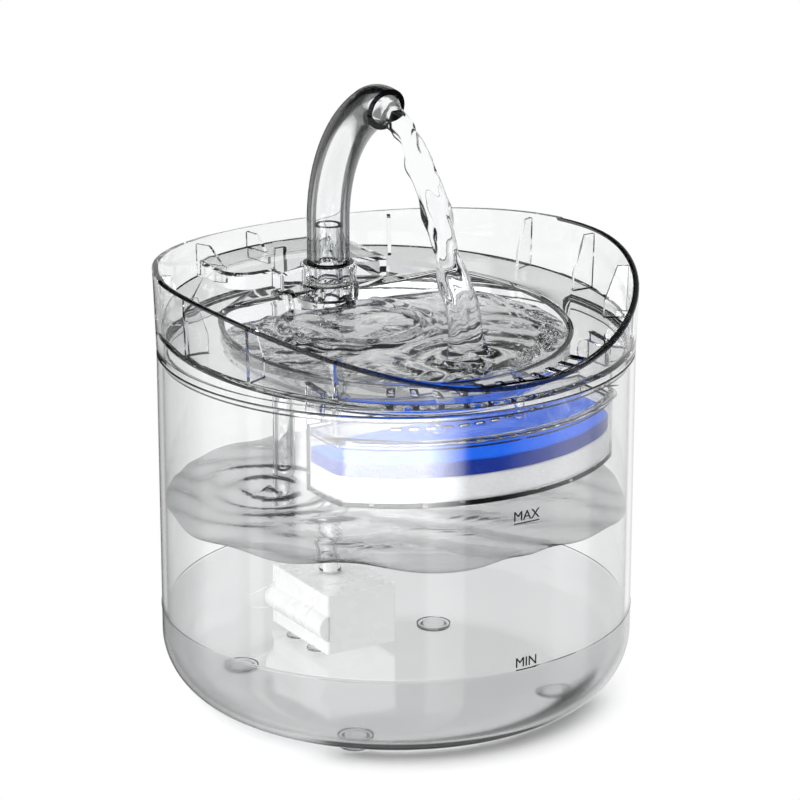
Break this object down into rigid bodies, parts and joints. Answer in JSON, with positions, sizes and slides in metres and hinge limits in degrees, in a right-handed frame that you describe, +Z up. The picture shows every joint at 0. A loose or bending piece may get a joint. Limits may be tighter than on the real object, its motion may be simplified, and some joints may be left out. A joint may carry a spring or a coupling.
{
  "type": "pet water fountain",
  "caption": "Clear round pet water fountain: a tank under a sloped drinking tray with a gooseneck faucet, a hanging filter box and a submersible pump.",
  "frame": {"origin": "on the table, under the centre of the tank", "axes": "+Z up, +X to the fountain's own left seen from the front, and the front, where the rim is lowest and the animal drinks, faces -Y"},
  "size_m": [0.1874, 0.1863, 0.2405],
  "materials": {
    "clear_plastic": "clear, polished",
    "clear_rubber": "clear, soft",
    "white_silicone": "matt",
    "white_plastic": "glossy",
    "grey_plastic": "satin",
    "blue_foam": "open foam",
    "white_fleece": "needled fleece",
    "carbon": "granules",
    "dark_foam": "open foam",
    "ferrite": "ground",
    "ceramic": "polished ceramic",
    "black_rubber": "matt",
    "steel": "laminated",
    "bobbin_plastic": "matt",
    "copper": "enamelled wire",
    "resin": "cast"
  },
  "bodies": {
    "base": {"tank": "clear_plastic", "tank_feet": "clear_rubber", "pump_housing": "white_plastic", "intake_sponge": "dark_foam", "impeller_cap": "white_plastic", "rotor_shaft": "ceramic", "front_bush": "black_rubber", "rear_bush": "black_rubber", "stator_core": "steel", "coil_bobbin": "bobbin_plastic", "stator_coil": "copper", "motor_potting": "resin", "rear_cover": "white_plastic", "cable_gland": "grey_plastic", "suction_cups": "clear_rubber"},
    "drinking_tray": {"tray": "clear_plastic", "riser_tube": "clear_plastic"},
    "faucet": {"faucet_base": "clear_plastic", "faucet_o_ring": "white_silicone"},
    "gooseneck": {"spout": "clear_plastic"},
    "filter": {"filter_box": "clear_plastic", "filter_lid": "clear_plastic", "filter_sponge": "blue_foam", "filter_cotton": "white_fleece", "carbon_core": "carbon"},
    "intake_cover": {"pump_cover": "white_plastic"},
    "flow_gate": {"flow_slider": "grey_plastic"},
    "rotor": {"impeller": "white_plastic", "rotor_magnet": "ferrite"}
  },
  "joints": [
    {"name": "tray_lift", "type": "slide", "parent": "base", "child": "drinking_tray", "axis": [0, 0, 1], "range_m": [0, 0.112]},
    {"name": "faucet_pull", "type": "slide", "parent": "drinking_tray", "child": "faucet", "axis": [0, 0, 1], "range_m": [0, 0.018]},
    {"name": "spout_swivel", "type": "hinge", "parent": "faucet", "child": "gooseneck", "pos_m": [0, 0.052, 0.17], "axis": [0, 0, 1], "range_deg": [-90, 90]},
    {"name": "filter_box_drop", "type": "slide", "parent": "drinking_tray", "child": "filter", "axis": [0, 0, -1], "range_m": [0, 0.03]},
    {"name": "intake_cover_slide", "type": "slide", "parent": "base", "child": "intake_cover", "axis": [0, -1, 0], "range_m": [0, 0.012]},
    {"name": "flow_gate_slide", "type": "slide", "parent": "intake_cover", "child": "flow_gate", "axis": [0, 0, 1], "range_m": [0, 0.008]},
    {"name": "rotor_spin", "type": "hinge", "parent": "base", "child": "rotor", "pos_m": [0, 0.052, 0.0215], "axis": [0, 1, 0], "continuous": true}
  ]
}
